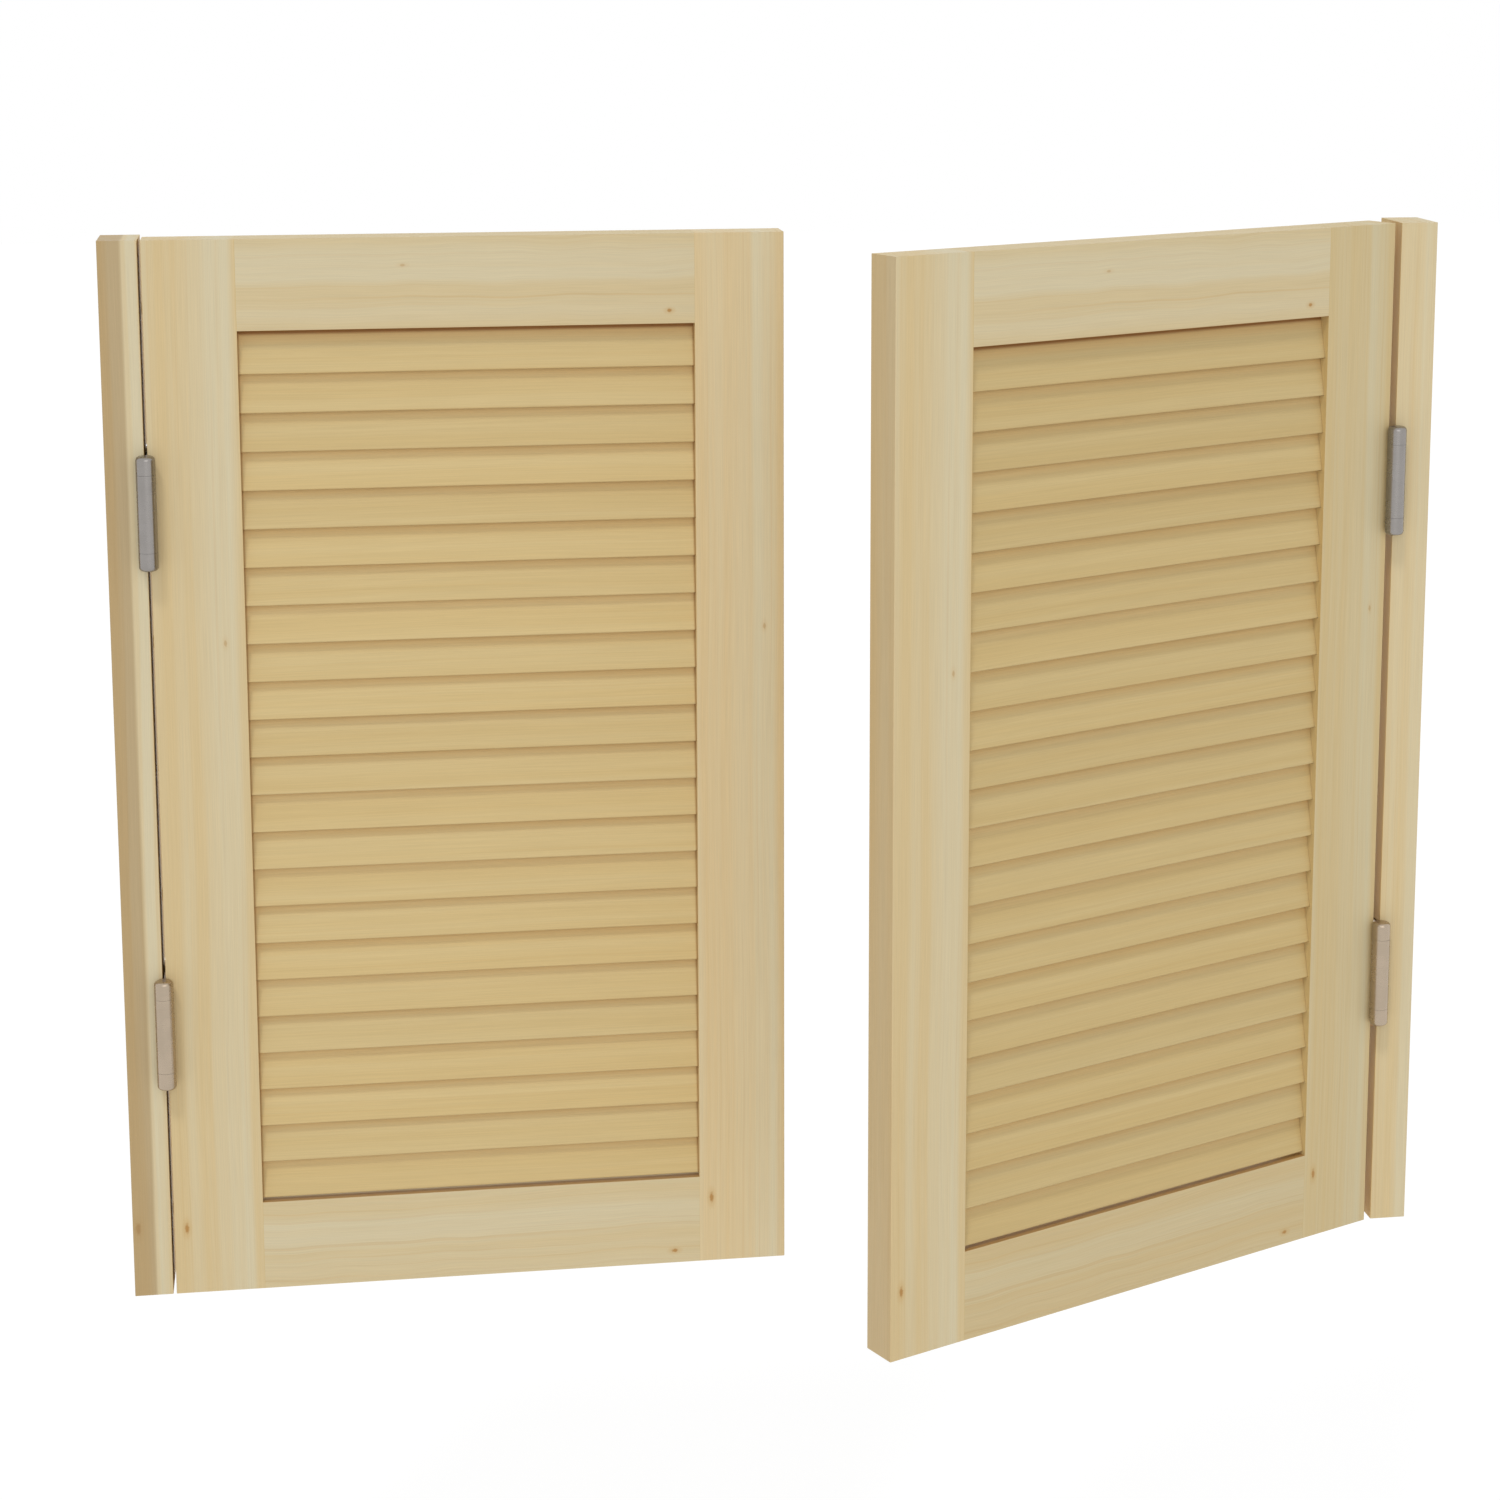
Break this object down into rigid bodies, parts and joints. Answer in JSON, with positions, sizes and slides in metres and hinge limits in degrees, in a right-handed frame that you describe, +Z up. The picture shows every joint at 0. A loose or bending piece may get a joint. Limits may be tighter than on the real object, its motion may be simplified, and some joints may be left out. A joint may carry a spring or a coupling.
{
  "type": "saloon door pair",
  "caption": "Pair of louvred pine saloon doors on slim posts, each leaf hung on double-action spring hinges so it swings both ways and closes by itself.",
  "frame": {"origin": "middle of the doorway between the two posts, in the plane of the front faces of the posts and the closed leaf, at their lower ends", "axes": "+X to the right as seen from the front, +Y away from the viewer, +Z up"},
  "size_m": [1.126, 0.2767, 0.9],
  "materials": {
    "pine_frame": "planed, unfinished",
    "pine_slats": "planed, unfinished",
    "beech_dowels": "fluted, plain",
    "hinge_steel": "satin nickel plate",
    "spring_steel": "oiled",
    "screw_steel": "zinc plate"
  },
  "bodies": {
    "posts": {"left_post": "pine_frame", "left_upper_hinge_post_plate": "hinge_steel", "left_upper_hinge_post_barrel_spring": "spring_steel", "left_lower_hinge_post_plate": "hinge_steel", "left_lower_hinge_post_barrel_spring": "spring_steel", "left_post_screws": "screw_steel", "right_post": "pine_frame", "right_upper_hinge_post_plate": "hinge_steel", "right_upper_hinge_post_barrel_spring": "spring_steel", "right_lower_hinge_post_plate": "hinge_steel", "right_lower_hinge_post_barrel_spring": "spring_steel", "right_post_screws": "screw_steel"},
    "left_link": {"left_upper_hinge_middle_plate": "hinge_steel", "left_upper_hinge_post_barrel_pin": "spring_steel", "left_upper_hinge_post_barrel_caps": "hinge_steel", "left_upper_hinge_leaf_barrel_pin": "spring_steel", "left_upper_hinge_leaf_barrel_caps": "hinge_steel", "left_lower_hinge_middle_plate": "hinge_steel", "left_lower_hinge_post_barrel_pin": "spring_steel", "left_lower_hinge_post_barrel_caps": "hinge_steel", "left_lower_hinge_leaf_barrel_pin": "spring_steel", "left_lower_hinge_leaf_barrel_caps": "hinge_steel"},
    "right_link": {"right_upper_hinge_middle_plate": "hinge_steel", "right_upper_hinge_post_barrel_pin": "spring_steel", "right_upper_hinge_post_barrel_caps": "hinge_steel", "right_upper_hinge_leaf_barrel_pin": "spring_steel", "right_upper_hinge_leaf_barrel_caps": "hinge_steel", "right_lower_hinge_middle_plate": "hinge_steel", "right_lower_hinge_post_barrel_pin": "spring_steel", "right_lower_hinge_post_barrel_caps": "hinge_steel", "right_lower_hinge_leaf_barrel_pin": "spring_steel", "right_lower_hinge_leaf_barrel_caps": "hinge_steel"},
    "left_leaf": {"left_hinge_stile": "pine_frame", "left_free_stile": "pine_frame", "left_top_rail": "pine_frame", "left_bottom_rail": "pine_frame", "left_slats": "pine_slats", "left_dowels": "beech_dowels", "left_upper_hinge_leaf_plate": "hinge_steel", "left_upper_hinge_leaf_barrel_spring": "spring_steel", "left_lower_hinge_leaf_plate": "hinge_steel", "left_lower_hinge_leaf_barrel_spring": "spring_steel", "left_leaf_screws": "screw_steel"},
    "right_leaf": {"right_hinge_stile": "pine_frame", "right_free_stile": "pine_frame", "right_top_rail": "pine_frame", "right_bottom_rail": "pine_frame", "right_slats": "pine_slats", "right_dowels": "beech_dowels", "right_upper_hinge_leaf_plate": "hinge_steel", "right_upper_hinge_leaf_barrel_spring": "spring_steel", "right_lower_hinge_leaf_plate": "hinge_steel", "right_lower_hinge_leaf_barrel_spring": "spring_steel", "right_leaf_screws": "screw_steel"}
  },
  "joints": [
    {"name": "left_front_swing", "type": "hinge", "parent": "posts", "child": "left_link", "pos_m": [-0.52965, -0.0085, 0], "axis": [0, 0, -1], "range_deg": [0, 90], "stiffness_Nm_per_rad": 2, "springref_deg": -17.19},
    {"name": "left_back_swing", "type": "hinge", "parent": "left_link", "child": "left_leaf", "pos_m": [-0.52965, 0.0415, 0], "axis": [0, 0, 1], "range_deg": [0, 90], "stiffness_Nm_per_rad": 2, "springref_deg": -17.19},
    {"name": "right_back_swing", "type": "hinge", "parent": "posts", "child": "right_link", "pos_m": [0.52965, 0.0415, 0], "axis": [0, 0, -1], "range_deg": [0, 90], "stiffness_Nm_per_rad": 2, "springref_deg": -17.19},
    {"name": "right_front_swing", "type": "hinge", "parent": "right_link", "child": "right_leaf", "pos_m": [0.52965, -0.0085, 0], "axis": [0, 0, 1], "range_deg": [-25, 65], "stiffness_Nm_per_rad": 2, "springref_deg": -42.17}
  ]
}
